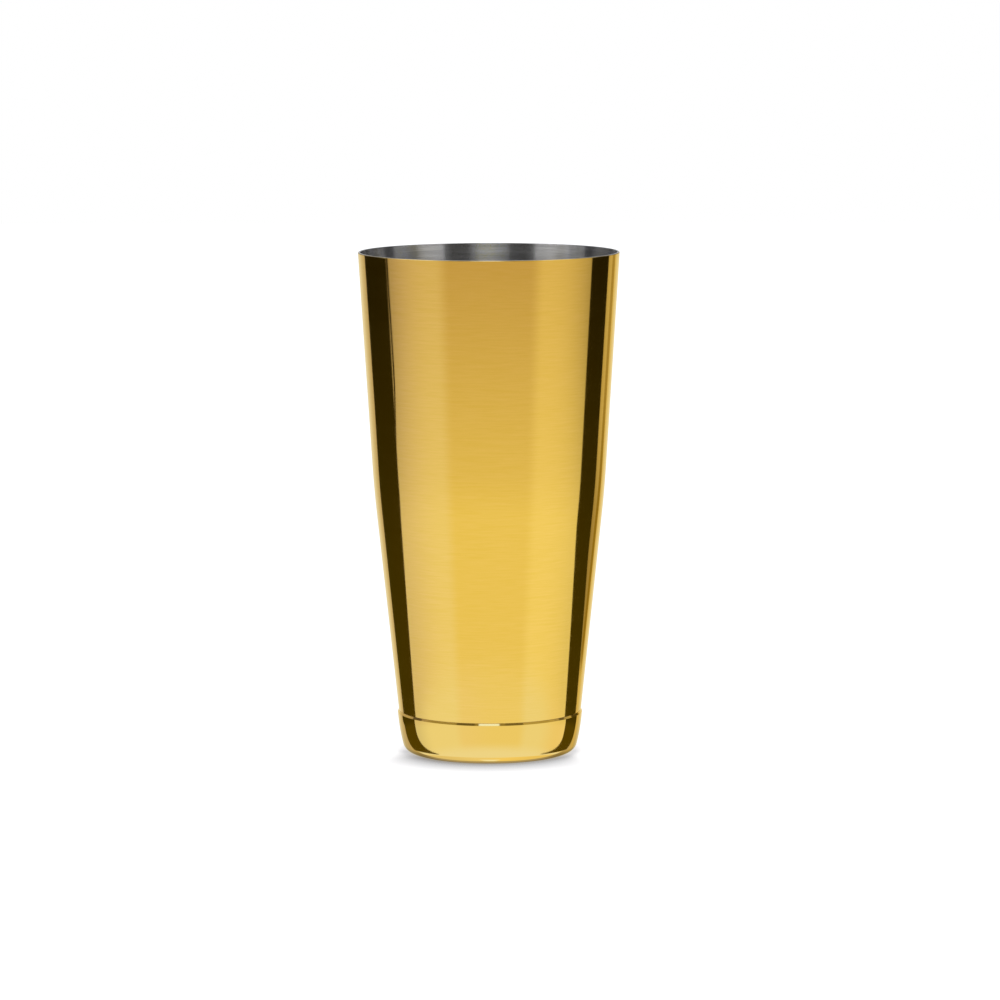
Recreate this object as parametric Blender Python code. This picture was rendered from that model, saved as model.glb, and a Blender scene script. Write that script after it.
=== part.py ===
"""Weighted shaking tin: a drawn steel cup whose necked foot plugs into a base cap that holds a weight.

Metres, +Z up. The origin is on the axis, at the level of the surface that the tin stands on.
Every piece is a solid of revolution, drawn as an outline of (radius, height) points.
"""
import math

import bmesh
import bpy

MM = 0.001

# The cup: two tapers that meet at a soft bend, in sheet of one thickness
HEIGHT = 177.5 * MM
RIM_RADIUS = 46.0 * MM
BEND_HEIGHT = 93.9 * MM
BEND_RADIUS = 40.75 * MM
BEND_ROUND = 390.0 * MM
SHOULDER_RADIUS = 32.4 * MM
BODY_WALL = 0.7 * MM
RIM_ROUND = 0.2 * MM

# The neck of the cup, which plugs into the cap
SHOULDER_ROUND = 0.9 * MM
NECK_ROUND = 0.4 * MM
NECK_DEPTH = 8.55 * MM
CUP_CORNER = 6.0 * MM

# The base cap: a shallow pan with a bevelled lip, a slightly crowned side and a recessed panel underneath
CAP_WALL = 0.8 * MM
CAP_PROUD = 0.42 * MM
LIP_LAND = 0.35 * MM
LIP_BEVEL = 0.75 * MM
LIP_ROUND = 0.15 * MM
LIP_SLOPE = math.radians(5.0)
FOOT_SLOPE = math.radians(14.0)
CROWN_RISE = 1.8 * MM
CROWN_ROUND = 68.0 * MM
CAP_CORNER = 2.9 * MM
FOOT_RING_WIDTH = 5.6 * MM
PANEL_RECESS = 0.8 * MM
PANEL_ROUND = 0.8 * MM

# The weight, and the potting that beds it in the cap
WEIGHT_THICKNESS = 4.2 * MM
WEIGHT_CHAMFER = 0.5 * MM
POTTING_WIDTH = 3.5 * MM

# Clearance between pieces that touch on the real tin
SEAT_GAP = 0.3 * MM

# Fineness of the facets, the distance under which points are one, and the angle past which an edge is sharp
TURN_STEPS = 64
ARC_STEP = math.radians(20.0)
MERGE_DISTANCE = 0.001 * MM
SHARP_ANGLE = math.radians(35.0)

# Levels, stacked up from the foot
PANEL_TOP = PANEL_RECESS + CAP_WALL
WEIGHT_BOTTOM = PANEL_TOP + SEAT_GAP
WEIGHT_TOP = WEIGHT_BOTTOM + WEIGHT_THICKNESS
CUP_FLOOR = WEIGHT_TOP + SEAT_GAP
LIP_HEIGHT = CUP_FLOOR + NECK_DEPTH

# The cup steps in by this much under its shoulder, which leaves the cap's lip almost flush with the wall
NECK_STEP = CAP_WALL + SEAT_GAP - CAP_PROUD


def turn_between(before, corner, after):
    """Angle by which a path turns at a corner, positive to the left."""
    heading_in = math.atan2(corner[1] - before[1], corner[0] - before[0])
    heading_out = math.atan2(after[1] - corner[1], after[0] - corner[0])
    return math.remainder(heading_out - heading_in, 2.0 * math.pi)


def rounded(corners):
    """Points of a path whose corners are (radius, height, fillet); two fillets share a short side."""
    inner = range(1, len(corners) - 1)
    turns = {i: turn_between(*corners[i - 1:i + 2]) for i in inner}
    reach = [0.0] * len(corners)
    for i in inner:
        reach[i] = corners[i][2] * math.tan(abs(turns[i]) / 2.0)
    for i in range(len(corners) - 1):
        side = math.dist(corners[i][:2], corners[i + 1][:2])
        wanted = reach[i] + reach[i + 1]
        if wanted > side:
            reach[i] *= side / wanted
            reach[i + 1] *= side / wanted
    points = [corners[0][:2]]
    for i in inner:
        if reach[i] > 0.0:
            points += arc_at(corners[i - 1], corners[i], reach[i], turns[i])
        else:
            points.append(corners[i][:2])
    points.append(corners[-1][:2])
    return points


def arc_at(before, corner, reach, turn):
    """Arc that starts this far before a corner and leaves it turned by this angle."""
    heading = math.atan2(corner[1] - before[1], corner[0] - before[0])
    radius = reach / math.tan(abs(turn) / 2.0)
    side = math.copysign(1.0, turn)
    start = (corner[0] - reach * math.cos(heading), corner[1] - reach * math.sin(heading))
    centre = (start[0] - side * radius * math.sin(heading), start[1] + side * radius * math.cos(heading))
    steps = max(2, math.ceil(abs(turn) / ARC_STEP))
    points = []
    for k in range(steps + 1):
        along = heading + turn * k / steps
        across = side * radius * math.sin(along)
        rise = side * radius * math.cos(along)
        points.append((centre[0] + across, centre[1] - rise))
    return points


def offset(corners, depth):
    """Path moved to its right by a depth; its start stays level, and its fillets keep their centres."""
    moved = []
    for i, (radius, height, fillet) in enumerate(corners):
        before = corners[max(i - 1, 0)]
        after = corners[min(i + 1, len(corners) - 1)]
        if i == 0:
            heading = math.atan2(after[1] - height, after[0] - radius)
            moved.append((radius + depth / math.sin(heading), height, fillet))
            continue
        if i == len(corners) - 1:
            heading = math.atan2(height - before[1], radius - before[0])
            moved.append((radius + depth * math.sin(heading), height - depth * math.cos(heading), fillet))
            continue
        turn = turn_between(before, corners[i], after)
        middle = math.atan2(height - before[1], radius - before[0]) + turn / 2.0
        shift = depth / math.cos(turn / 2.0)
        new_fillet = max(0.0, fillet + math.copysign(depth, turn))
        moved.append((radius + shift * math.sin(middle), height - shift * math.cos(middle), new_fillet))
    return moved


def sheet(outer, inner, edge_round):
    """Outline of a drawn sheet: from the axis up its inside, over a rounded edge and down its outside."""
    edge_in = (*inner[0][:2], edge_round)
    edge_out = (*outer[0][:2], edge_round)
    return rounded([*reversed(inner[1:]), edge_in, edge_out, *outer[1:]])


def below(points, level):
    """The part of a falling path that lies under a level, cut exactly at it."""
    first = next(i for i, point in enumerate(points) if point[1] < level)
    high, low = points[first - 1], points[first]
    share = (high[1] - level) / (high[1] - low[1])
    return [(high[0] + share * (low[0] - high[0]), level), *points[first:]]


def finish(name, colour, roughness, metallic):
    """Principled material in one colour."""
    material = bpy.data.materials.new(name)
    material.use_nodes = True
    shader = material.node_tree.nodes["Principled BSDF"]
    shader.inputs["Base Color"].default_value = (*colour, 1.0)
    shader.inputs["Roughness"].default_value = roughness
    shader.inputs["Metallic"].default_value = metallic
    return material


def turned(name, outline, material, is_ring=False):
    """Solid of revolution about Z; the outline ends on the axis, or closes on itself for a ring."""
    form = bmesh.new()
    row = [form.verts.new((radius, 0.0, height)) for radius, height in outline]
    edges = [form.edges.new(pair) for pair in zip(row, row[1:])]
    if is_ring:
        edges.append(form.edges.new((row[-1], row[0])))
    bmesh.ops.spin(form, geom=row + edges, axis=(0.0, 0.0, 1.0), cent=(0.0, 0.0, 0.0),
                   angle=2.0 * math.pi, steps=TURN_STEPS, use_merge=True)
    bmesh.ops.remove_doubles(form, verts=form.verts, dist=MERGE_DISTANCE)
    bmesh.ops.recalc_face_normals(form, faces=form.faces)
    mesh = bpy.data.meshes.new(name)
    form.to_mesh(mesh)
    form.free()
    mesh.shade_smooth()
    mesh.set_sharp_from_angle(angle=SHARP_ANGLE)
    mesh.materials.append(material)
    piece = bpy.data.objects.new(name, mesh)
    bpy.context.scene.collection.objects.link(piece)
    return piece


def cap_side():
    """Corners of the cap's outer side, from its lip to the edge of its foot."""
    lip_radius = SHOULDER_RADIUS + CAP_PROUD
    crown_height = CUP_FLOOR + CROWN_RISE
    crown_radius = lip_radius - (LIP_HEIGHT - crown_height) * math.tan(LIP_SLOPE)
    foot_radius = crown_radius - crown_height * math.tan(FOOT_SLOPE)
    return [(lip_radius, LIP_HEIGHT, 0.0), (crown_radius, crown_height, CROWN_ROUND),
            (foot_radius, 0.0, CAP_CORNER)]


def lip_bevel():
    """Corners of the bevel that falls from the flat on top of the cap's lip to its side."""
    lip_radius = SHOULDER_RADIUS + CAP_PROUD
    side_radius = lip_radius - LIP_BEVEL * math.tan(LIP_SLOPE)
    return [(lip_radius - CAP_WALL + LIP_LAND, LIP_HEIGHT, 0.0),
            (side_radius, LIP_HEIGHT - LIP_BEVEL, LIP_ROUND)]


def foot_flat_radius():
    """Radius where the cap's corner runs out into the flat of its foot."""
    return cap_side()[-1][0] - CAP_CORNER * math.tan((math.pi / 2.0 - FOOT_SLOPE) / 2.0)


def weight_radius():
    """Radius of the weight, which leaves room for the potting inside the cap's corner."""
    return foot_flat_radius() - POTTING_WIDTH


def make_tin_body(material):
    """The cup: rim, upper taper, bend, lower taper, shoulder, neck and floor."""
    neck_radius = SHOULDER_RADIUS - NECK_STEP
    floor_radius = neck_radius - NECK_DEPTH * math.tan(LIP_SLOPE)
    outer = [(RIM_RADIUS, HEIGHT, 0.0), (BEND_RADIUS, BEND_HEIGHT, BEND_ROUND),
             (SHOULDER_RADIUS, LIP_HEIGHT + NECK_STEP, SHOULDER_ROUND),
             (neck_radius, LIP_HEIGHT, NECK_ROUND), (floor_radius, CUP_FLOOR, CUP_CORNER),
             (0.0, CUP_FLOOR, 0.0)]
    turned("tin_body", sheet(outer, offset(outer, BODY_WALL), RIM_ROUND), material)


def make_base_cap(material):
    """The pan that closes the foot: bevelled lip, crowned side, foot ring and recessed panel."""
    ring_edge = foot_flat_radius() - FOOT_RING_WIDTH
    panel_edge = ring_edge - PANEL_RECESS
    drawn = [*cap_side(), (ring_edge, 0.0, PANEL_ROUND), (panel_edge, PANEL_RECESS, PANEL_ROUND),
             (0.0, PANEL_RECESS, 0.0)]
    outer = [*lip_bevel(), *drawn[1:]]
    turned("base_cap", sheet(outer, offset(drawn, CAP_WALL), LIP_ROUND), material)


def make_weight_disc(material):
    """The blank that rests on the cap's panel, with both edges chamfered."""
    radius = weight_radius()
    flat = radius - WEIGHT_CHAMFER
    outline = [(0.0, WEIGHT_TOP), (flat, WEIGHT_TOP), (radius, WEIGHT_TOP - WEIGHT_CHAMFER),
               (radius, WEIGHT_BOTTOM + WEIGHT_CHAMFER), (flat, WEIGHT_BOTTOM), (0.0, WEIGHT_BOTTOM)]
    turned("weight_disc", outline, material)


def make_potting_ring(material):
    """Epoxy poured round the weight, level with its top, against the inside of the cap."""
    inner_radius = weight_radius() + SEAT_GAP
    skin = offset([*cap_side(), (inner_radius, 0.0, 0.0)], CAP_WALL + SEAT_GAP)
    outside = below(rounded(skin), WEIGHT_TOP)
    turned("potting_ring", [(inner_radius, WEIGHT_TOP), *outside], material, is_ring=True)


for old in list(bpy.data.objects):
    bpy.data.objects.remove(old, do_unlink=True)

make_tin_body(finish("gold_finished_steel", (0.88, 0.61, 0.15), 0.15, 1.0))
make_base_cap(finish("gold_finished_cap", (0.88, 0.61, 0.15), 0.15, 1.0))
make_weight_disc(finish("plain_steel", (0.50, 0.50, 0.51), 0.40, 1.0))
make_potting_ring(finish("cured_epoxy", (0.62, 0.55, 0.36), 0.45, 0.0))
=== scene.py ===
"""Looks of a weighted shaking tin: gold-finished outside, bare brushed steel inside.

Metres, +Z up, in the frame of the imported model. The sections follow the tin as it is put together:
the base cap, the weight and the potting that go into it, and the cup that plugs it. The studio comes last.
"""
import math

import bpy
import numpy as np
from mathutils import Matrix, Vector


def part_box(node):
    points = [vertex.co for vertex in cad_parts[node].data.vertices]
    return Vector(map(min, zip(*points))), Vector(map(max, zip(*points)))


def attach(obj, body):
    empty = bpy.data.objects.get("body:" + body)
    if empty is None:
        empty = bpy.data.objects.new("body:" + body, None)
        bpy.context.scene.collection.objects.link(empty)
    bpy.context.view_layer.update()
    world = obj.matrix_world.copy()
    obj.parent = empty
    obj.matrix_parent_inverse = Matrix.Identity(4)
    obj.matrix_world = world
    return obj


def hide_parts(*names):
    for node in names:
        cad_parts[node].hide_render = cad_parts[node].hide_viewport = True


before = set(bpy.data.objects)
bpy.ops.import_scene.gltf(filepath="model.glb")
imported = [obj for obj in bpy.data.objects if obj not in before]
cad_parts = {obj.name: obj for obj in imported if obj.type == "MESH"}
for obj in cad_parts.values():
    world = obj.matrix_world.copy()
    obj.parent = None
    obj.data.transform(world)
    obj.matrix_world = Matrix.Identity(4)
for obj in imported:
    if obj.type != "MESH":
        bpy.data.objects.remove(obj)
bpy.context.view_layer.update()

# Base cap
# A shallow pan drawn from stainless steel sheet and gold finished all over, with a slightly crowned side
# and a recessed panel underneath. It is bonded over the cup's neck, and its bevelled lip stands just proud.
MM = 0.001
CAP_WALL = 0.8 * MM
LIP_RADIUS = 32.82 * MM
LIP_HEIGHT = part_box("base_cap")[1].z
LIP_LAND = 0.35 * MM
LIP_BEVEL = 0.75 * MM
LIP_ROUND = 0.06 * MM
LIP_SLOPE = math.radians(5.0)
FOOT_SLOPE = math.radians(14.0)
CROWN_HEIGHT = 8.2 * MM
CROWN_ROUND = 68.0 * MM
CAP_CORNER = 3.6 * MM
FOOT_RING_WIDTH = 5.6 * MM
PANEL_RECESS = 0.8 * MM
PANEL_ROUND = 0.8 * MM
ARC_POINTS = 17
LEAST_ROUND = 0.05 * MM
LONGEST_RUN = 4.0 * MM
TURN_STEPS = 192
STREAK_DETAIL = {"Scale": 1.0, "Detail": 3.0, "Roughness": 0.6}
HAZE_DETAIL = {"Scale": 0.13, "Detail": 2.0}
WEAR_DETAIL = {"Scale": 900.0, "Detail": 3.0}
WEAR_FADE = (0.2, 1.0)
WEAR_REACH = 0.35 * MM
NOISE_RANGE = (0.3, 0.7)
QUARTER_TURN = 0.25
GOLD = (0.928, 0.647, 0.214, 1.0)
GOLD_DULL = (0.813, 0.563, 0.096, 1.0)
GOLD_RUBBED = (0.93, 0.79, 0.50, 1.0)
GOLD_STRETCH = 0.8
GOLD_AROUND = 110.0
GOLD_ACROSS = 2600.0
GRAIN_FADE = (LIP_HEIGHT, 2.5 * LIP_HEIGHT)
GRAIN_LEFT_AT_FOOT = 0.6
GOLD_RELIEF = 0.002 * MM


def headings_of(corners):
    """Direction of each straight side, and the left turn at each inner corner, brought into half a turn."""
    run = np.diff(corners[:, :2], axis=0)
    heading = np.arctan2(run[:, 1], run[:, 0])
    return heading, (np.diff(heading) + np.pi) % (2.0 * np.pi) - np.pi


def inset(corners, depth):
    """Corners (radius, height, fillet) moved to the right of their path by a depth, along the bisector of
    each corner by depth / cos(half its turn). The first stays level, and fillets keep their centres."""
    heading, turn = headings_of(corners)
    turn = np.concatenate([[0.0], turn, [0.0]])
    middle = np.append(heading[0], heading) + turn / 2.0
    shift = depth / np.cos(turn / 2.0)
    fillet = np.maximum(corners[:, 2] + np.sign(turn) * depth, LEAST_ROUND)
    moved_r = corners[:, 0] + shift * np.sin(middle)
    moved_z = corners[:, 1] - shift * np.cos(middle)
    moved = np.stack([moved_r, moved_z, fillet], 1)
    moved[0, :2] = corners[0, 0] + depth / math.sin(heading[0]), corners[0, 1]
    return moved


def rounded(corners):
    """Rows of (radius, height, heading): each inner corner is an arc, whose centre lies one fillet to the
    side of the turn and whose points are centre + fillet x (sin, -cos) of the heading as it swings round."""
    heading, turn = headings_of(corners)
    side_fillet = np.sign(turn) * corners[1:-1, 2]
    before = heading[:-1]
    reach = side_fillet * np.tan(turn / 2.0)
    centre_r = corners[1:-1, 0] - reach * np.cos(before) - side_fillet * np.sin(before)
    centre_z = corners[1:-1, 1] - reach * np.sin(before) + side_fillet * np.cos(before)
    swing = before[:, None] + turn[:, None] * np.linspace(0.0, 1.0, ARC_POINTS)
    arc_r = centre_r[:, None] + side_fillet[:, None] * np.sin(swing)
    arc_z = centre_z[:, None] - side_fillet[:, None] * np.cos(swing)
    arcs = np.stack([arc_r, arc_z, swing], -1).reshape(-1, 3)
    first = [*corners[0, :2], heading[0]]
    last = [*corners[-1, :2], heading[-1]]
    return np.vstack([first, arcs, last])


def filled(path):
    """The same path with each side cut into equal parts no longer than the longest run."""
    length = np.hypot(*np.diff(path[:, :2], axis=0).T)
    parts = np.ceil(length / LONGEST_RUN).astype(int)
    start = np.repeat(np.cumsum(parts) - parts, parts)
    share = (np.arange(parts.sum()) - start) / np.repeat(parts, parts)
    place = np.append(np.repeat(np.arange(len(parts)), parts) + share, len(parts))
    return np.stack([np.interp(place, np.arange(len(path)), column) for column in path.T], 1)


def sheet_outline(outer, inner, outer_round, inner_round):
    """Outline of a drawn sheet: from the axis up its inside, over its rounded edge and down its outside."""
    edge = [(*inner[0, :2], inner_round), (*outer[0, :2], outer_round)]
    return filled(rounded(np.vstack([inner[:0:-1], edge, outer[1:]])))


def turned(name, outline, finishes, finish_of_ring):
    """Surface of revolution: outline point (r, z) at angle a lies at (r cos a, r sin a, z), its normal is the
    left of its heading, and its two ends are poles on the axis."""
    angle = 2.0 * np.pi * np.arange(TURN_STEPS) / TURN_STEPS
    radius, height, heading = (column[:, None] for column in outline[1:-1].T)
    level = np.ones(TURN_STEPS)
    points = np.stack([radius * np.cos(angle), radius * np.sin(angle), height * level], -1).reshape(-1, 3)
    outward = -np.sin(heading)
    upward = np.cos(heading) * level
    normals = np.stack([outward * np.cos(angle), outward * np.sin(angle), upward], -1).reshape(-1, 3)
    poles = [[0.0, 0.0, outline[0, 1]], [0.0, 0.0, outline[-1, 1]]]
    here = np.arange(len(points)).reshape(-1, TURN_STEPS)
    beside = np.roll(here, -1, axis=1)
    sides = np.stack([here[:-1], here[1:], beside[1:], beside[:-1]], -1).reshape(-1, 4)
    top_pole = np.full(TURN_STEPS, len(points))
    top_fan = np.stack([top_pole, here[0], beside[0]], -1)
    bottom_fan = np.stack([here[-1], top_pole + 1, beside[-1]], -1)
    faces = [*sides.tolist(), *top_fan.tolist(), *bottom_fan.tolist()]
    mesh = bpy.data.meshes.new(name)
    mesh.from_pydata(np.vstack([points, poles]).tolist(), [], faces)
    mesh.shade_smooth()
    mesh.normals_split_custom_set_from_vertices(np.vstack([normals, [[0, 0, 1], [0, 0, -1]]]).tolist())
    for finish in finishes:
        mesh.materials.append(finish)
    ring_finish = np.repeat(finish_of_ring, TURN_STEPS)
    fan_finish = np.repeat([finish_of_ring[0], finish_of_ring[-1]], TURN_STEPS)
    mesh.polygons.foreach_set("material_index", np.concatenate([ring_finish, fan_finish]).astype(np.int32))
    mesh.update()
    piece = bpy.data.objects.new(name, mesh)
    bpy.context.scene.collection.objects.link(piece)
    return piece


def add_node(tree, kind, inputs=(), **settings):
    """New node with its settings; each input takes a number, a colour or the socket that feeds it."""
    node = tree.nodes.new(kind)
    for name, setting in settings.items():
        setattr(node, name, setting)
    for key, source in dict(inputs).items():
        if isinstance(source, bpy.types.NodeSocket):
            tree.links.new(source, node.inputs[key])
        else:
            node.inputs[key].default_value = source
    return node


def maths(tree, operation, first, second=0.0):
    """Result of one sum on two values."""
    return add_node(tree, "ShaderNodeMath", {0: first, 1: second}, operation=operation).outputs[0]


def ease(tree, value, start, end, low, high, shape="SMOOTHSTEP"):
    """Value that goes from low to high while another goes from start to end, and stays level outside."""
    ends = {"Value": value, "From Min": start, "From Max": end, "To Min": low, "To Max": high}
    return add_node(tree, "ShaderNodeMapRange", ends, interpolation_type=shape).outputs["Result"]


def blend_colour(tree, share, first, second, kind="MIX"):
    """Colour that goes from the first to the second by a share."""
    sockets = {0: share, 6: first, 7: second}
    return add_node(tree, "ShaderNodeMix", sockets, data_type="RGBA", blend_type=kind).outputs[2]


def new_group(name, inputs, outputs):
    """Empty node group with named float inputs, a vector called Place, and named float outputs."""
    group = bpy.data.node_groups.new(name, "ShaderNodeTree")
    group.interface.new_socket("Place", in_out="INPUT", socket_type="NodeSocketVector")
    for socket in inputs:
        group.interface.new_socket(socket, in_out="INPUT", socket_type="NodeSocketFloat")
    for socket in outputs:
        group.interface.new_socket(socket, in_out="OUTPUT", socket_type="NodeSocketFloat")
    return group, add_node(group, "NodeGroupInput"), add_node(group, "NodeGroupOutput")


def make_turned_brushing():
    """Streaks left by polishing on a lathe. They run round the axis: the noise is long in x and y, and short
    in height plus radius, which is the way across a wall as well as across a floor."""
    group, given, made = new_group("turned_brushing", ["Around", "Across"], ["Streak", "Haze"])
    split = add_node(group, "ShaderNodeSeparateXYZ", {0: given.outputs["Place"]})
    flat = add_node(group, "ShaderNodeCombineXYZ", {0: split.outputs[0], 1: split.outputs[1]})
    radius = add_node(group, "ShaderNodeVectorMath", {0: flat.outputs[0]}, operation="LENGTH")
    distance = maths(group, "ADD", radius.outputs["Value"], split.outputs[2])
    across = maths(group, "MULTIPLY", distance, given.outputs["Across"])
    along_x = maths(group, "MULTIPLY", split.outputs[0], given.outputs["Around"])
    along_y = maths(group, "MULTIPLY", split.outputs[1], given.outputs["Around"])
    way = add_node(group, "ShaderNodeCombineXYZ", {0: along_x, 1: along_y, 2: across}).outputs[0]
    streak = add_node(group, "ShaderNodeTexNoise", {"Vector": way, **STREAK_DETAIL})
    haze = add_node(group, "ShaderNodeTexNoise", {"Vector": way, **HAZE_DETAIL})
    group.links.new(streak.outputs["Fac"], made.inputs["Streak"])
    group.links.new(haze.outputs["Fac"], made.inputs["Haze"])
    return group


def make_lip_wear():
    """Rubbed band under an edge: full at the edge's level, gone one reach below it, broken up by noise."""
    group, given, made = new_group("lip_wear", ["Level", "Reach"], ["Wear"])
    height = add_node(group, "ShaderNodeSeparateXYZ", {0: given.outputs["Place"]}).outputs[2]
    below = maths(group, "SUBTRACT", given.outputs["Level"], height)
    depth = maths(group, "DIVIDE", below, given.outputs["Reach"])
    noise = add_node(group, "ShaderNodeTexNoise", {"Vector": given.outputs["Place"], **WEAR_DETAIL})
    ragged = maths(group, "ADD", depth, maths(group, "SUBTRACT", noise.outputs["Fac"], 0.5))
    group.links.new(ease(group, ragged, *WEAR_FADE, 1.0, 0.0), made.inputs["Wear"])
    return group


turned_brushing = make_turned_brushing()
lip_wear = make_lip_wear()


def new_finish(name):
    """New material, with its tree, its shader and a Place socket in the piece's own coordinates."""
    material = bpy.data.materials.new(name)
    material.use_nodes = True
    tree = material.node_tree
    place = add_node(tree, "ShaderNodeTexCoord").outputs["Object"]
    return material, tree, tree.nodes["Principled BSDF"], place


def new_metal(name, stretch):
    """New metallic finish, whose highlights are stretched across its brushing."""
    material, tree, shader, place = new_finish(name)
    shader.inputs["Metallic"].default_value = 1.0
    shader.inputs["Anisotropic"].default_value = stretch
    shader.inputs["Anisotropic Rotation"].default_value = QUARTER_TURN
    return material, tree, shader, place


def brushed(tree, place, around, across):
    """Streak and haze of the turned brushing, at so many grains to the metre round the axis and across."""
    inputs = {"Place": place, "Around": around, "Across": across}
    brushing = add_node(tree, "ShaderNodeGroup", inputs, node_tree=turned_brushing)
    return brushing.outputs["Streak"], brushing.outputs["Haze"]


def add_relief(tree, shader, height, strength, distance):
    """Bumps on a finish: a height of one stands out by the distance, at this strength."""
    relief = add_node(tree, "ShaderNodeBump", {"Height": height, "Strength": strength, "Distance": distance})
    tree.links.new(relief.outputs["Normal"], shader.inputs["Normal"])


def gold_finish(name, edge_level, edge_wear, grain_depth, roughness):
    """Thin gold coating over polished steel, with a rubbed edge and faint brushing round the axis, which is
    fainter still towards the foot."""
    material, tree, shader, place = new_metal(name, GOLD_STRETCH)
    streak, haze = brushed(tree, place, GOLD_AROUND, GOLD_ACROSS)
    wear_inputs = {"Place": place, "Level": edge_level, "Reach": WEAR_REACH}
    wear = add_node(tree, "ShaderNodeGroup", wear_inputs, node_tree=lip_wear).outputs["Wear"]
    height = add_node(tree, "ShaderNodeSeparateXYZ", {0: place}).outputs[2]
    grain = ease(tree, height, *GRAIN_FADE, GRAIN_LEFT_AT_FOOT * grain_depth, grain_depth)
    tone = maths(tree, "MULTIPLY", maths(tree, "SUBTRACT", 0.5, streak), grain)
    coat = blend_colour(tree, maths(tree, "ADD", tone, 0.5), GOLD, GOLD_DULL)
    rubbed = maths(tree, "MULTIPLY", wear, edge_wear)
    tree.links.new(blend_colour(tree, rubbed, coat, GOLD_RUBBED), shader.inputs["Base Color"])
    tree.links.new(ease(tree, haze, *NOISE_RANGE, *roughness), shader.inputs["Roughness"])
    add_relief(tree, shader, streak, grain_depth, GOLD_RELIEF)
    return material


lip_to_crown = (LIP_HEIGHT - CROWN_HEIGHT) * math.tan(LIP_SLOPE)
crown_radius = LIP_RADIUS - lip_to_crown
foot_radius = crown_radius - CROWN_HEIGHT * math.tan(FOOT_SLOPE)
foot_flat = foot_radius - CAP_CORNER * math.tan((math.pi / 2.0 - FOOT_SLOPE) / 2.0)
ring_edge = foot_flat - FOOT_RING_WIDTH
cap_drawn = np.array([(LIP_RADIUS, LIP_HEIGHT, 0.0), (crown_radius, CROWN_HEIGHT, CROWN_ROUND),
                      (foot_radius, 0.0, CAP_CORNER), (ring_edge, 0.0, PANEL_ROUND),
                      (ring_edge - PANEL_RECESS, PANEL_RECESS, PANEL_ROUND), (0.0, PANEL_RECESS, 0.0)])
bevel_top = (LIP_RADIUS - CAP_WALL + LIP_LAND, LIP_HEIGHT, 0.0)
bevel_foot = (LIP_RADIUS - LIP_BEVEL * math.tan(LIP_SLOPE), LIP_HEIGHT - LIP_BEVEL, LIP_ROUND)
cap_outer = np.vstack([bevel_top, bevel_foot, cap_drawn[1:]])
cap_outline = sheet_outline(cap_outer, inset(cap_drawn, CAP_WALL), LIP_ROUND, LIP_ROUND)
cap_polish = {"edge_wear": 0.1, "grain_depth": 0.05, "roughness": (0.03, 0.05)}
cap_gold = gold_finish("gold_finished_cap", LIP_HEIGHT, **cap_polish)
cap = turned("gold_base_cap", cap_outline, [cap_gold], np.zeros(len(cap_outline) - 3))
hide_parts("base_cap")
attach(cap, "root")

# Weight
# A round blank of plain steel plate that makes the base heavy. It is punched, its edges are chamfered,
# and it lies on the cap's panel with a dull mill finish that nothing shows.
MILL_STEEL = (0.52, 0.52, 0.53, 1.0)
MILL_STEEL_DARK = (0.33, 0.32, 0.31, 1.0)
MILL_AROUND = 200.0
MILL_ACROSS = 1500.0
MILL_ROUGHNESS = (0.35, 0.5)
MILL_RELIEF = 0.02 * MM


def mill_steel_finish():
    """Grey plate: turning marks darken it, and a slow haze changes its gloss."""
    material, tree, shader, place = new_metal("mill_steel", 0.0)
    streak, haze = brushed(tree, place, MILL_AROUND, MILL_ACROSS)
    tree.links.new(blend_colour(tree, streak, MILL_STEEL, MILL_STEEL_DARK), shader.inputs["Base Color"])
    tree.links.new(ease(tree, haze, *NOISE_RANGE, *MILL_ROUGHNESS), shader.inputs["Roughness"])
    add_relief(tree, shader, streak, 0.4, MILL_RELIEF)
    return material


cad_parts["weight_disc"].data.materials.clear()
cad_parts["weight_disc"].data.materials.append(mill_steel_finish())

# Potting
# The ring of epoxy poured round the weight in the cap's corner. It cures to a cloudy amber that beds the
# weight and bonds the cap to the cup.
EPOXY_AMBER = (0.62, 0.52, 0.30, 1.0)
EPOXY_CLOUD = (0.74, 0.67, 0.48, 1.0)
EPOXY_ROUGHNESS = (0.25, 0.5)
CLOUD_DETAIL = {"Scale": 140.0, "Detail": 4.0}
BUBBLE_SCALE = 700.0
BUBBLE_SIZE = 0.25
BUBBLE_RELIEF = 0.1 * MM


def epoxy_finish():
    """Amber resin with pale clouds and small bubbles that dent its skin."""
    material, tree, shader, place = new_finish("cured_epoxy")
    cloud = add_node(tree, "ShaderNodeTexNoise", {"Vector": place, **CLOUD_DETAIL}).outputs["Fac"]
    bubble = add_node(tree, "ShaderNodeTexVoronoi", {"Vector": place, "Scale": BUBBLE_SCALE})
    tree.links.new(blend_colour(tree, cloud, EPOXY_AMBER, EPOXY_CLOUD), shader.inputs["Base Color"])
    tree.links.new(ease(tree, cloud, *NOISE_RANGE, *EPOXY_ROUGHNESS), shader.inputs["Roughness"])
    dents = ease(tree, bubble.outputs["Distance"], 0.0, BUBBLE_SIZE, 0.0, 1.0)
    add_relief(tree, shader, dents, 0.3, BUBBLE_RELIEF)
    return material


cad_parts["potting_ring"].data.materials.clear()
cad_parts["potting_ring"].data.materials.append(epoxy_finish())

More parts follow.
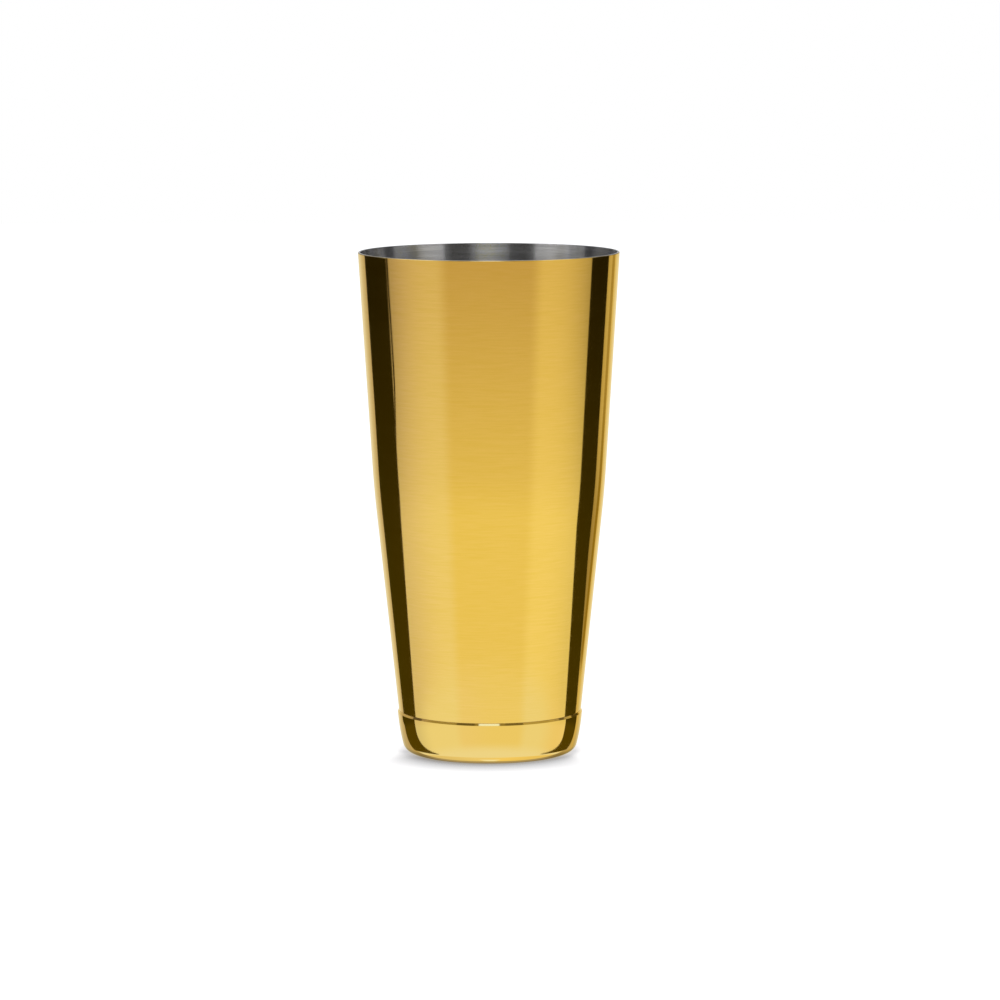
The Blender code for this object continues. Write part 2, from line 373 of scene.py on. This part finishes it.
# Cup
# The tin's body, drawn from one stainless steel blank in two tapers that meet at a soft bend. Its necked foot
# plugs into the cap. Gold finished outside and over the rim, left as bare brushed steel inside.
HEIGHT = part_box("tin_body")[1].z
CUP_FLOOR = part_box("tin_body")[0].z
RIM_RADIUS = 46.0 * MM
RIM_ROUND = 0.25 * MM
RIM_ROUND_INSIDE = 0.1 * MM
BEND_HEIGHT = 93.9 * MM
BEND_RADIUS = 40.75 * MM
BEND_ROUND = 390.0 * MM
SHOULDER_RADIUS = 32.4 * MM
SHOULDER_ROUND = 0.9 * MM
SEAM_GAP = 0.03 * MM
SEAM_ROUND = 0.1 * MM
NECK_STEP = 0.68 * MM
NECK_ROUND = 0.4 * MM
CUP_CORNER = 6.0 * MM
BODY_WALL = 0.8 * MM
STEEL = (0.64, 0.64, 0.655, 1.0)
STEEL_DULL = (0.51, 0.51, 0.525, 1.0)
STEEL_STRETCH = 0.95
STEEL_AROUND = 60.0
STEEL_ACROSS = 1600.0
STEEL_ROUGHNESS = (0.18, 0.25)
STEEL_RELIEF = 0.01 * MM


def brushed_steel_finish():
    """Bare stainless steel, brushed round the inside of the cup more coarsely than the gold."""
    material, tree, shader, place = new_metal("brushed_steel_inside", STEEL_STRETCH)
    streak, haze = brushed(tree, place, STEEL_AROUND, STEEL_ACROSS)
    worn = ease(tree, streak, *NOISE_RANGE, 0.0, 1.0)
    tree.links.new(blend_colour(tree, worn, STEEL, STEEL_DULL), shader.inputs["Base Color"])
    tree.links.new(ease(tree, haze, *NOISE_RANGE, *STEEL_ROUGHNESS), shader.inputs["Roughness"])
    add_relief(tree, shader, streak, 0.5, STEEL_RELIEF)
    return material


neck_radius = SHOULDER_RADIUS - NECK_STEP
floor_radius = neck_radius - (LIP_HEIGHT - CUP_FLOOR) * math.tan(LIP_SLOPE)
tapers = [(RIM_RADIUS, HEIGHT, 0.0), (BEND_RADIUS, BEND_HEIGHT, BEND_ROUND)]
shoulder_height = LIP_HEIGHT + NECK_STEP
wall_lean = (BEND_RADIUS - SHOULDER_RADIUS) / (BEND_HEIGHT - shoulder_height)
joint_radius = SHOULDER_RADIUS - wall_lean * (NECK_STEP - SEAM_GAP)
drawn_step = [(SHOULDER_RADIUS, shoulder_height, SHOULDER_ROUND), (neck_radius, LIP_HEIGHT, NECK_ROUND)]
ground_step = [(joint_radius, LIP_HEIGHT + SEAM_GAP, SEAM_ROUND), (neck_radius, LIP_HEIGHT, SEAM_ROUND)]
cup_floor = [(floor_radius, CUP_FLOOR, CUP_CORNER), (0.0, CUP_FLOOR, 0.0)]
cup_outer = np.array([*tapers, *ground_step, *cup_floor])
cup_inner = inset(np.array([*tapers, *drawn_step, *cup_floor]), BODY_WALL)
cup_outline = sheet_outline(cup_outer, cup_inner, RIM_ROUND, RIM_ROUND_INSIDE)
is_rim = cup_outline[:, 1] > HEIGHT - RIM_ROUND
is_outer = cup_outline[:, 0] > RIM_RADIUS - BODY_WALL / 2.0
is_inside = np.arange(1, len(cup_outline) - 2) < np.argmax(is_rim & is_outer)
cup_polish = {"edge_wear": 0.8, "grain_depth": 1.0, "roughness": (0.07, 0.10)}
cup_gold = gold_finish("gold_finished_steel", HEIGHT, **cup_polish)
cup_finishes = [cup_gold, brushed_steel_finish()]
cup = turned("gold_tin_body", cup_outline, cup_finishes, is_inside.astype(int))
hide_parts("tin_body")
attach(cup, "root")

# Floor
# A wide matt white table. The camera sees it brighter than the light alone makes it, so that it is white all
# over except in a painted shadow round the foot, which falls mostly to the front: where ambient occlusion
# finds the foot near, the camera sees darker colours, set for each side.
FLOOR_HALF = 3.0
FLOOR_COLOUR = (0.88, 0.88, 0.88, 1.0)
LIFT_SHARE = 0.65
SHADOW_PAINT_BEHIND = (0.97, 0.985, 1.05, 1.0)
SHADOW_PAINT_LEFT = (0.66, 0.69, 0.76, 1.0)
SHADOW_PAINT_RIGHT = (0.82, 0.845, 0.92, 1.0)
SHADOW_PAINT_LEFT_FRONT = (0.27, 0.295, 0.355, 1.0)
SHADOW_PAINT_RIGHT_FRONT = (0.35, 0.385, 0.45, 1.0)
LIFT_IN_OPEN = (1.26, 1.27, 1.31, 1.0)
SHADOW_LEFT_REACH = 3.6 * MM
SHADOW_RIGHT_REACH = 3.0 * MM
SHADOW_FRONT_REACH = 17.0 * MM
SHADOW_TURN = 0.08
SHADOW_SIDES = (-25.0 * MM, 25.0 * MM)
SHADOW_FRONT = (-6.0 * MM, -LIP_RADIUS)
OPEN_RANGE = (0.45, 0.97)
RIGHT_BLEND = (-20.0 * MM, 5.0 * MM)
FRONT_BLEND = (-6.0 * MM, -18.0 * MM)
BEHIND_BLEND = (-4.0 * MM, 3.0 * MM)


def passed(tree, value, band, most=1.0, shape="SMOOTHSTEP"):
    """Share that goes from none to its most while a value passes through a band."""
    return ease(tree, value, *band, 0.0, most, shape)


floor_mesh = bpy.data.meshes.new("floor")
corner_signs = np.array([[-1, -1, 0], [1, -1, 0], [1, 1, 0], [-1, 1, 0]])
floor_mesh.from_pydata((FLOOR_HALF * corner_signs).tolist(), [], [[0, 1, 2, 3]])
floor = bpy.data.objects.new("floor", floor_mesh)
bpy.context.scene.collection.objects.link(floor)
floor.visible_glossy = False

floor_material = bpy.data.materials.new("white_table")
floor_material.use_nodes = True
tree = floor_material.node_tree
tree.nodes.clear()
spot = add_node(tree, "ShaderNodeSeparateXYZ", {0: add_node(tree, "ShaderNodeTexCoord").outputs["Object"]})
# Painted shadow: the occlusion looks for the foot furthest to the front and a little to the left.
forward = maths(tree, "ADD", spot.outputs[1], maths(tree, "MULTIPLY", spot.outputs[0], SHADOW_TURN))
side_reach = ease(tree, spot.outputs[0], *SHADOW_SIDES, SHADOW_LEFT_REACH, SHADOW_RIGHT_REACH)
reach = ease(tree, forward, *SHADOW_FRONT, side_reach, SHADOW_FRONT_REACH)
openness = add_node(tree, "ShaderNodeAmbientOcclusion", {"Distance": reach}).outputs["AO"]
clear = passed(tree, openness, OPEN_RANGE, shape="LINEAR")
is_right = passed(tree, spot.outputs[0], RIGHT_BLEND)
# Painted shadow colours, darkest to the front, lighter at the sides and behind the axis, blended into the
# white lift.
front_shadow_paint = blend_colour(tree, is_right, SHADOW_PAINT_LEFT_FRONT, SHADOW_PAINT_RIGHT_FRONT)
is_front = passed(tree, spot.outputs[1], FRONT_BLEND)
is_behind = passed(tree, spot.outputs[1], BEHIND_BLEND)
side_shadow_paint = blend_colour(tree, is_right, SHADOW_PAINT_LEFT, SHADOW_PAINT_RIGHT)
side_shadow_paint = blend_colour(tree, is_behind, side_shadow_paint, SHADOW_PAINT_BEHIND)
painted_shadow = blend_colour(tree, is_front, side_shadow_paint, front_shadow_paint)
lift_and_painted_shadow = add_node(tree, "ShaderNodeEmission", {"Color": blend_colour(tree, clear, painted_shadow, LIFT_IN_OPEN)})
matt = add_node(tree, "ShaderNodeBsdfDiffuse", {"Color": FLOOR_COLOUR})
in_view = maths(tree, "MULTIPLY", add_node(tree, "ShaderNodeLightPath").outputs["Is Camera Ray"], LIFT_SHARE)
both = add_node(tree, "ShaderNodeMixShader", {0: in_view, 1: matt.outputs[0], 2: lift_and_painted_shadow.outputs[0]})
add_node(tree, "ShaderNodeOutputMaterial", {"Surface": both.outputs[0]})
floor_mesh.materials.append(floor_material)

# Light tent
# A round tent of white cloth about the tin, as used for polished metal, standing on a pale table. Two black
# flags stand in it behind the tin, and strips of light hang over it. Only the metal sees it.
TENT_RADIUS = 300.0 * MM
TENT_BOTTOM = -3000.0 * MM
TENT_TOP = 1200.0 * MM
TENT_STEPS = 128
FRONT_CLOTH = (0.95, 0.89, 0.56, 1.0)
LEFT_CLOTH = (0.97, 0.955, 0.86, 1.0)
LEFT_FAR_CLOTH = (0.92, 0.885, 0.92, 1.0)
RIGHT_CLOTH = (1.025, 0.99, 0.725, 1.0)
FRONT_HIGH_SHADE = (0.67, 0.585, 0.63, 1.0)
SIDE_HIGH_SHADE = (0.785, 0.715, 0.69, 1.0)
LEFT_BACK_EDGE = (0.54, 0.47, 0.36, 1.0)
LEFT_BACK = (0.86, 0.80, 0.57, 1.0)
RIGHT_BACK_EDGE = (0.58, 0.48, 0.22, 1.0)
RIGHT_BACK_MIDDLE = (0.76, 0.61, 0.23, 1.0)
RIGHT_BACK = (0.88, 0.78, 0.47, 1.0)
LOW_BACK_EDGE = (0.72, 0.64, 0.48, 1.0)
BROWN_SHADE = (0.12, 0.06, 0.0, 1.0)
BRASS_POLE = (0.255, 0.167, 0.0, 1.0)
TABLE_FRONT_LEFT = (0.97, 0.95, 0.92, 1.0)
TABLE_FRONT_RIGHT = (0.97, 0.95, 0.78, 1.0)
TABLE_SIDE = (0.975, 1.02, 1.09, 1.0)
TABLE_NEAR = (0.985, 1.08, 1.45, 1.0)
TABLE_RIGHT_FAR = (0.98, 0.93, 0.80, 1.0)
TABLE_FOOT_LEFT = (0.97, 0.95, 0.92, 1.0)
TABLE_FOOT_RIGHT = (1.06, 0.97, 0.68, 1.0)
TABLE_SHINE = (1.10, 1.27, 2.0, 1.0)
TABLE_SHADOW_BEHIND = (0.45, 0.43, 0.46, 1.0)
FLAG_HIGH = (0.018, 0.014, 0.001, 1.0)
FLAG_LOW = (0.06, 0.047, 0.001, 1.0)
FLAG_FOOT = (0.095, 0.072, 0.002, 1.0)
HOOP_TINT = (1.0, 0.88, 0.45, 1.0)
WARM_TINT = (1.0, 0.88, 0.15, 1.0)
HIGH_GLOW = (1.95, 1.95, 2.25, 1.0)
NO_TINT = (1.0, 1.0, 1.0, 1.0)
LAMP = (1.05, 1.35, 2.6, 1.0)
DARK = (0.0, 0.0, 0.0, 1.0)

tent_angle = 2.0 * np.pi * np.arange(TENT_STEPS) / TENT_STEPS
tent_ring = np.stack([np.cos(tent_angle), np.sin(tent_angle)], 1) * TENT_RADIUS
low_ring = np.insert(tent_ring, 2, TENT_BOTTOM, axis=1)
high_ring = np.insert(tent_ring, 2, TENT_TOP, axis=1)
here = np.arange(TENT_STEPS)
beside = np.roll(here, -1)
tent_faces = np.stack([here, here + TENT_STEPS, beside + TENT_STEPS, beside], 1)
tent_mesh = bpy.data.meshes.new("light_tent")
tent_mesh.from_pydata(np.vstack([low_ring, high_ring]).tolist(), [], tent_faces.tolist())
tent = bpy.data.objects.new("light_tent", tent_mesh)
bpy.context.scene.collection.objects.link(tent)
tent.visible_camera = False
tent.visible_diffuse = False
tent.visible_shadow = False
tent.visible_transmission = False

# Places on the cloth: degrees from the front, plus to the right, and millimetres above the table
HALF_BLEND = (-26.0 * MM, 26.0 * MM)

cloth = bpy.data.materials.new("tent_cloth")
cloth.use_nodes = True
cloth.cycles.emission_sampling = "NONE"
tree = cloth.node_tree
tree.nodes.clear()
spot = add_node(tree, "ShaderNodeSeparateXYZ", {0: add_node(tree, "ShaderNodeTexCoord").outputs["Object"]})
forward = maths(tree, "MULTIPLY", spot.outputs[1], -1.0)
azimuth = maths(tree, "DEGREES", maths(tree, "ARCTAN2", spot.outputs[0], forward))
level = maths(tree, "DIVIDE", spot.outputs[2], MM)
side = maths(tree, "ABSOLUTE", azimuth)
is_right = passed(tree, spot.outputs[0], HALF_BLEND)


def between(value, start, end, softness):
    """Share of one between two ends, each a number or a socket, and none outside, with soft edges."""
    after = ease(tree, maths(tree, "SUBTRACT", value, start), -softness, softness, 0.0, 1.0)
    before = ease(tree, maths(tree, "SUBTRACT", end, value), -softness, softness, 0.0, 1.0)
    return maths(tree, "MULTIPLY", after, before)


# Front cloth, in shade high up and towards the flags
FRONT_EDGE_TURN = (-30.0, 30.0)
FRONT_EDGES = (38.3, 40.3)
PANEL_BLEND = (-7.0, 7.0)
LEFT_FAR_TURN = (45.0, 90.0)
HIGH_RISE = (5.0, 125.0)
AWAY_TURN = (50.0, 97.0)
AWAY_RISE = (10.0, 110.0)
AWAY_SHADES = (0.15, 0.42)

front_edge = ease(tree, azimuth, *FRONT_EDGE_TURN, *FRONT_EDGES)
is_panel = passed(tree, maths(tree, "SUBTRACT", side, front_edge), PANEL_BLEND)
left_panel = blend_colour(tree, passed(tree, side, LEFT_FAR_TURN), LEFT_CLOTH, LEFT_FAR_CLOTH)
panel = blend_colour(tree, is_right, left_panel, RIGHT_CLOTH)
front = blend_colour(tree, is_panel, FRONT_CLOTH, panel)
high_shade = blend_colour(tree, is_panel, FRONT_HIGH_SHADE, SIDE_HIGH_SHADE)
front = blend_colour(tree, passed(tree, level, HIGH_RISE, shape="LINEAR"), front, high_shade, "MULTIPLY")
away = passed(tree, side, AWAY_TURN, shape="LINEAR")
away_shade = ease(tree, level, *AWAY_RISE, *AWAY_SHADES, "LINEAR")
fall_off = maths(tree, "MULTIPLY", maths(tree, "MULTIPLY", away, away), away_shade)
front = blend_colour(tree, fall_off, front, DARK)

# Table, brighter and bluer towards the foot, with a shine in front of it
TABLE_TURN = (-40.0, 10.0)
TABLE_LEFT_TURN = (-75.0, -108.0)
TABLE_LEFT_SHADE = 0.2
TABLE_RIGHT_TURN = (60.0, 95.0)
TABLE_DROP = (-60.0, -80.0)
NEAR_DROP = (-135.0, -190.0)
FOOT_TURN = (-20.0, 40.0)
FOOT_SIDE_TURN = (15.0, 90.0)
FOOT_SIDE_SHADE = 0.1
FOOT_DROP = (-205.0, -250.0)
SHINE_TURN = (27.0, 20.0)
SHINE_LOW = -2600.0
SHINE_HIGH = -640.0
SHINE_SOFTNESS = 60.0

table = blend_colour(tree, passed(tree, azimuth, TABLE_TURN), TABLE_FRONT_LEFT, TABLE_FRONT_RIGHT)
table = blend_colour(tree, is_panel, table, TABLE_SIDE)
table = blend_colour(tree, passed(tree, azimuth, TABLE_LEFT_TURN, TABLE_LEFT_SHADE), table, DARK)
table = blend_colour(tree, passed(tree, azimuth, TABLE_RIGHT_TURN), table, TABLE_RIGHT_FAR)
front = blend_colour(tree, passed(tree, level, TABLE_DROP), front, table)
front = blend_colour(tree, passed(tree, level, NEAR_DROP), front, TABLE_NEAR)
foot = blend_colour(tree, passed(tree, azimuth, FOOT_TURN), TABLE_FOOT_LEFT, TABLE_FOOT_RIGHT)
# Painted shade of the tin's contact shadow on the table, darker towards the sides.
foot = blend_colour(tree, passed(tree, side, FOOT_SIDE_TURN, FOOT_SIDE_SHADE), foot, DARK)
shine_height = between(level, SHINE_LOW, SHINE_HIGH, SHINE_SOFTNESS)
shine = maths(tree, "MULTIPLY", passed(tree, side, SHINE_TURN), shine_height)
foot = blend_colour(tree, shine, foot, TABLE_SHINE)
front = blend_colour(tree, passed(tree, level, FOOT_DROP), front, foot)

# Back cloth, seen past the flags, with a brass pole in front of it on the right
LEFT_BACK_TURN = (134.0, 153.0)
RIGHT_MIDDLE_TURN = (126.0, 141.0)
RIGHT_BACK_TURN = (141.0, 154.0)
POLE_FOOT_RISE = (-40.0, -28.0)
GAP_TURN = (136.0, 133.0)
GAP_DROP = (90.0, 5.0)
GAP_SHADE = 0.42
POLE_START = 133.5
POLE_END = 141.5
POLE_SOFTNESS = 1.5
POLE_DROP = (110.0, 40.0)
POLE_SHADES = (0.65, 0.9)
LOW_EDGE_DROP = (-80.0, -112.0)
LOW_EDGE_TURN = (140.0, 128.0)
BACK_DROP = (-50.0, -250.0)
BACK_SHADE = 0.6
BEHIND_TURN = (138.0, 150.0)
BEHIND_DROP = (-42.0, -100.0)
BEHIND_SHADE = 0.44
TABLE_SHADOW_DROP = (-200.0, -420.0)
BACK_TURN = (110.0, 122.0)

left_back_share = passed(tree, side, LEFT_BACK_TURN, shape="LINEAR")
left_back = blend_colour(tree, left_back_share, LEFT_BACK_EDGE, LEFT_BACK)
right_back = blend_colour(tree, passed(tree, side, RIGHT_MIDDLE_TURN), RIGHT_BACK_EDGE, RIGHT_BACK_MIDDLE)
right_back = blend_colour(tree, passed(tree, side, RIGHT_BACK_TURN, shape="LINEAR"), right_back, RIGHT_BACK)
above_foot = passed(tree, level, POLE_FOOT_RISE)
gap_shade = maths(tree, "MULTIPLY", passed(tree, side, GAP_TURN), passed(tree, level, GAP_DROP, GAP_SHADE))
right_back = blend_colour(tree, maths(tree, "MULTIPLY", gap_shade, above_foot), right_back, BROWN_SHADE)
pole_shade = ease(tree, level, *POLE_DROP, *POLE_SHADES)
pole = maths(tree, "MULTIPLY", between(side, POLE_START, POLE_END, POLE_SOFTNESS), pole_shade)
right_back = blend_colour(tree, maths(tree, "MULTIPLY", pole, above_foot), right_back, BRASS_POLE)
back = blend_colour(tree, is_right, left_back, right_back)
low_edge = maths(tree, "MULTIPLY", passed(tree, level, LOW_EDGE_DROP), passed(tree, side, LOW_EDGE_TURN))
back = blend_colour(tree, low_edge, back, LOW_BACK_EDGE)
back = blend_colour(tree, passed(tree, level, BACK_DROP, BACK_SHADE), back, DARK)
behind_shade = passed(tree, level, BEHIND_DROP, BEHIND_SHADE, "LINEAR")
behind = maths(tree, "MULTIPLY", passed(tree, side, BEHIND_TURN), behind_shade)
back = blend_colour(tree, behind, back, DARK)
# Painted shadow of the tin on the table under and behind its foot, seen in the metal's lowest edge.
back = blend_colour(tree, passed(tree, level, TABLE_SHADOW_DROP), back, TABLE_SHADOW_BEHIND)
walls = blend_colour(tree, passed(tree, side, BACK_TURN), front, back)

# Hanging strips as (start, end, glow), and the hoop that carries them, with a lamp in the middle
HANGING_DARK = 0.075
HANGING_STRIPS = [(-181, -160, 0.45), (-150, -124, 0.09), (-105, -84.5, 0.44), (-84.5, -60, 1.08),
                  (-60, -46, 0.84), (-20, 18, 0.3), (-6, 11, 0.15), (44.5, 58, 0.80), (58, 74, 0.88),
                  (74, 103.5, 0.33), (122, 150, 0.10), (160, 181, 0.45)]
HANGING_RISE = (145.0, 190.0)
HOOP_DARK = 0.16
HOOP_STRIPS = [(-92, -46, 0.20), (-21, 21, 0.17), (21, 46, 0.05), (46, 91, 0.32)]
HOOP_TOP = 277.0
HOOP_DROP = 0.0138
HOOP_HALF = 15.0
HOOP_SOFTNESS = 5.0
STRIP_SOFTNESS = 1.5
LAMP_START = -15.5
LAMP_END = 13.0
GLOW_RISE = (262.0, 292.0)


def strip_glow(strips, dark):
    """Grey that is dark between strips and brighter by each strip's own glow inside it."""
    grey = dark
    for start, end, glow in strips:
        strip = maths(tree, "MULTIPLY", between(azimuth, start, end, STRIP_SOFTNESS), glow)
        grey = maths(tree, "ADD", grey, strip)
    return add_node(tree, "ShaderNodeCombineColor", {0: grey, 1: grey, 2: grey}).outputs[0]


is_lamp = between(azimuth, LAMP_START, LAMP_END, STRIP_SOFTNESS)
middle_glow = blend_colour(tree, passed(tree, level, GLOW_RISE), WARM_TINT, HIGH_GLOW)
middle_glow = blend_colour(tree, is_lamp, NO_TINT, middle_glow)
hanging = blend_colour(tree, 1.0, strip_glow(HANGING_STRIPS, HANGING_DARK), middle_glow, "MULTIPLY")
hoop = blend_colour(tree, 1.0, strip_glow(HOOP_STRIPS, HOOP_DARK), HOOP_TINT, "MULTIPLY")
hoop = blend_colour(tree, is_lamp, hoop, LAMP)
bow = maths(tree, "MULTIPLY", maths(tree, "MULTIPLY", azimuth, azimuth), HOOP_DROP)
above_hoop = maths(tree, "SUBTRACT", maths(tree, "ADD", level, bow), HOOP_TOP)
hanging = blend_colour(tree, between(above_hoop, -HOOP_HALF, HOOP_HALF, HOOP_SOFTNESS), hanging, hoop)
walls = blend_colour(tree, passed(tree, level, HANGING_RISE), walls, hanging)

# Flags, whose edges lean from one (level, angle) to another and then swing forwards, and a cord on the left
FLAG_BOTTOM = -172.0
FLAG_TOP = 170.0
FLAG_END_SOFTNESS = 2.0
FLAG_SOFTNESS = 0.4
LEFT_INNER = (30.0, 96.3, -65.0, 105.8)
LEFT_INNER_SWING = (-85.0, 32.5)
LEFT_OUTER = (85.0, 134.0, -52.0, 139.0)
LEFT_OUTER_SWING = (-70.0, 60.5)
LEFT_STEP_DROP = (-55.0, -66.0)
LEFT_STEP = 4.0
RIGHT_INNER = (10.0, 96.8, -66.0, 106.9)
RIGHT_INNER_SWING = (-95.0, 34.3)
RIGHT_OUTER = (8.0, 124.8, -52.0, 136.2)
RIGHT_OUTER_SWING = (-70.0, 62.0)
CORD_EDGE = (84.0, 93.1, 60.0, 96.3)
CORD_BEND_RISE = (95.0, 130.0)
CORD_BEND = 0.8
CORD_WIDTH = 2.1
CORD_SOFTNESS = 0.3
CORD_RISE = (58.0, 66.0)
FLAG_DROP = (130.0, -40.0)
FLAG_FOOT_DROP = (-58.0, -75.0)


def lean(high_level, high_azimuth, low_level, low_azimuth):
    """Azimuth of a straight edge that leans between two levels and stands upright beyond them."""
    return ease(tree, level, high_level, low_level, high_azimuth, low_azimuth, "LINEAR")


def swung(edge, start, most):
    """Edge that swings forwards by the square of its depth under a level, by this much at the flags' foot."""
    depth = ease(tree, level, start, FLAG_BOTTOM, 0.0, 1.0, "LINEAR")
    return maths(tree, "SUBTRACT", edge, maths(tree, "MULTIPLY", maths(tree, "MULTIPLY", depth, depth), most))


def flag_mask(facing, inner, outer):
    """Share of black between two edges, from the flags' foot to their top."""
    across = between(facing, inner, outer, FLAG_SOFTNESS)
    return maths(tree, "MULTIPLY", across, between(level, FLAG_BOTTOM, FLAG_TOP, FLAG_END_SOFTNESS))


left = maths(tree, "MULTIPLY", azimuth, -1.0)
left_inner = swung(lean(*LEFT_INNER), *LEFT_INNER_SWING)
left_step = passed(tree, level, LEFT_STEP_DROP, LEFT_STEP)
left_outer = swung(maths(tree, "SUBTRACT", lean(*LEFT_OUTER), left_step), *LEFT_OUTER_SWING)
right_inner = swung(lean(*RIGHT_INNER), *RIGHT_INNER_SWING)
right_outer = swung(lean(*RIGHT_OUTER), *RIGHT_OUTER_SWING)
left_flag = flag_mask(left, left_inner, left_outer)
right_flag = flag_mask(azimuth, right_inner, right_outer)
cord_edge = maths(tree, "ADD", lean(*CORD_EDGE), passed(tree, level, CORD_BEND_RISE, CORD_BEND))
cord = between(left, cord_edge, maths(tree, "ADD", cord_edge, CORD_WIDTH), CORD_SOFTNESS)
cord = maths(tree, "MULTIPLY", cord, passed(tree, level, CORD_RISE))
flags = maths(tree, "MAXIMUM", maths(tree, "ADD", left_flag, right_flag), cord)

# Rays that rise, as from the cap's bevel, pass over parts of the flags, as if these stood further out
RISING = (-0.06, -0.12)
LEFT_REST = (97.0, 112.0, 1.5)
LEFT_REST_SHADE = 0.72
RIGHT_REST = (98.0, 107.0, 1.5)
RIGHT_REST_SHADE = 0.66
RIGHT_END = (121.0, 138.0, 1.5)
RIGHT_END_SHADE = 0.9
FLAG_TOP_DROP = (172.0, 168.0)

incoming = add_node(tree, "ShaderNodeNewGeometry").outputs["Incoming"]
is_rising = passed(tree, add_node(tree, "ShaderNodeSeparateXYZ", {0: incoming}).outputs[2], RISING)
left_rest = maths(tree, "MULTIPLY", between(left, *LEFT_REST), LEFT_REST_SHADE)
right_rest = maths(tree, "MULTIPLY", between(azimuth, *RIGHT_REST), RIGHT_REST_SHADE)
right_end = maths(tree, "MULTIPLY", between(azimuth, *RIGHT_END), RIGHT_END_SHADE)
low_flags = maths(tree, "ADD", left_rest, maths(tree, "ADD", right_rest, right_end))
low_flags = maths(tree, "MULTIPLY", low_flags, passed(tree, level, FLAG_TOP_DROP))
level_flags = maths(tree, "MULTIPLY", flags, maths(tree, "SUBTRACT", 1.0, is_rising))
flags = maths(tree, "ADD", level_flags, maths(tree, "MULTIPLY", low_flags, is_rising))
flag_black = blend_colour(tree, passed(tree, level, FLAG_DROP, shape="LINEAR"), FLAG_HIGH, FLAG_LOW)
flag_black = blend_colour(tree, passed(tree, level, FLAG_FOOT_DROP), flag_black, FLAG_FOOT)
picture = blend_colour(tree, flags, walls, flag_black)
glow = add_node(tree, "ShaderNodeEmission", {"Color": picture})
add_node(tree, "ShaderNodeOutputMaterial", {"Surface": glow.outputs[0]})
tent_mesh.materials.append(cloth)

# Room
# The white room about the tent. The camera sees plain white and matt surfaces get plain white light. Metal
# sees a pale ceiling over the tent and the table right under the tin.
UNDER_TIN = (0.80, 0.84, 1.0, 1.0)
UNDER_TIN_RISE = (-0.95, 0.0)
CEILING = (0.6, 0.6, 0.6, 1.0)
PLAIN_WHITE = (1.0, 1.0, 1.0, 1.0)

room = bpy.data.worlds.new("white_room")
room.use_nodes = True
bpy.context.scene.world = room
tree = room.node_tree
tree.nodes.clear()
ray = add_node(tree, "ShaderNodeLightPath")
way = add_node(tree, "ShaderNodeSeparateXYZ", {0: add_node(tree, "ShaderNodeTexCoord").outputs["Generated"]})
seen_by_metal = blend_colour(tree, passed(tree, way.outputs[2], UNDER_TIN_RISE), UNDER_TIN, CEILING)
is_out_of_view = maths(tree, "SUBTRACT", 1.0, ray.outputs["Is Camera Ray"])
is_glossy = maths(tree, "MULTIPLY", ray.outputs["Is Glossy Ray"], is_out_of_view)
colour = blend_colour(tree, is_glossy, PLAIN_WHITE, seen_by_metal)
light = add_node(tree, "ShaderNodeBackground", {"Color": colour, "Strength": 1.0})
add_node(tree, "ShaderNodeOutputWorld", {"Surface": light.outputs[0]})

# Camera
# A long lens, a little above the rim and pointing slightly down, as in the photograph.
CAMERA_PLACE = (0.0, -1597.6 * MM, 287.2 * MM)
CAMERA_PITCH = math.radians(7.0523)
CAMERA_YAW = math.radians(0.1343)
CAMERA_ROLL = math.radians(-0.131)
CAMERA_LENS = 163.86
CAMERA_SENSOR = 36.0

camera_data = bpy.data.cameras.new("camera")
camera_data.lens = CAMERA_LENS
camera_data.sensor_width = CAMERA_SENSOR
camera = bpy.data.objects.new("camera", camera_data)
bpy.context.scene.collection.objects.link(camera)
aim = Matrix.Rotation(-CAMERA_YAW, 4, "Z") @ Matrix.Rotation(math.pi / 2.0 - CAMERA_PITCH, 4, "X")
camera.matrix_world = Matrix.Translation(CAMERA_PLACE) @ aim @ Matrix.Rotation(CAMERA_ROLL, 4, "Z")
bpy.context.scene.camera = camera
bpy.context.scene.view_settings.view_transform = "Standard"
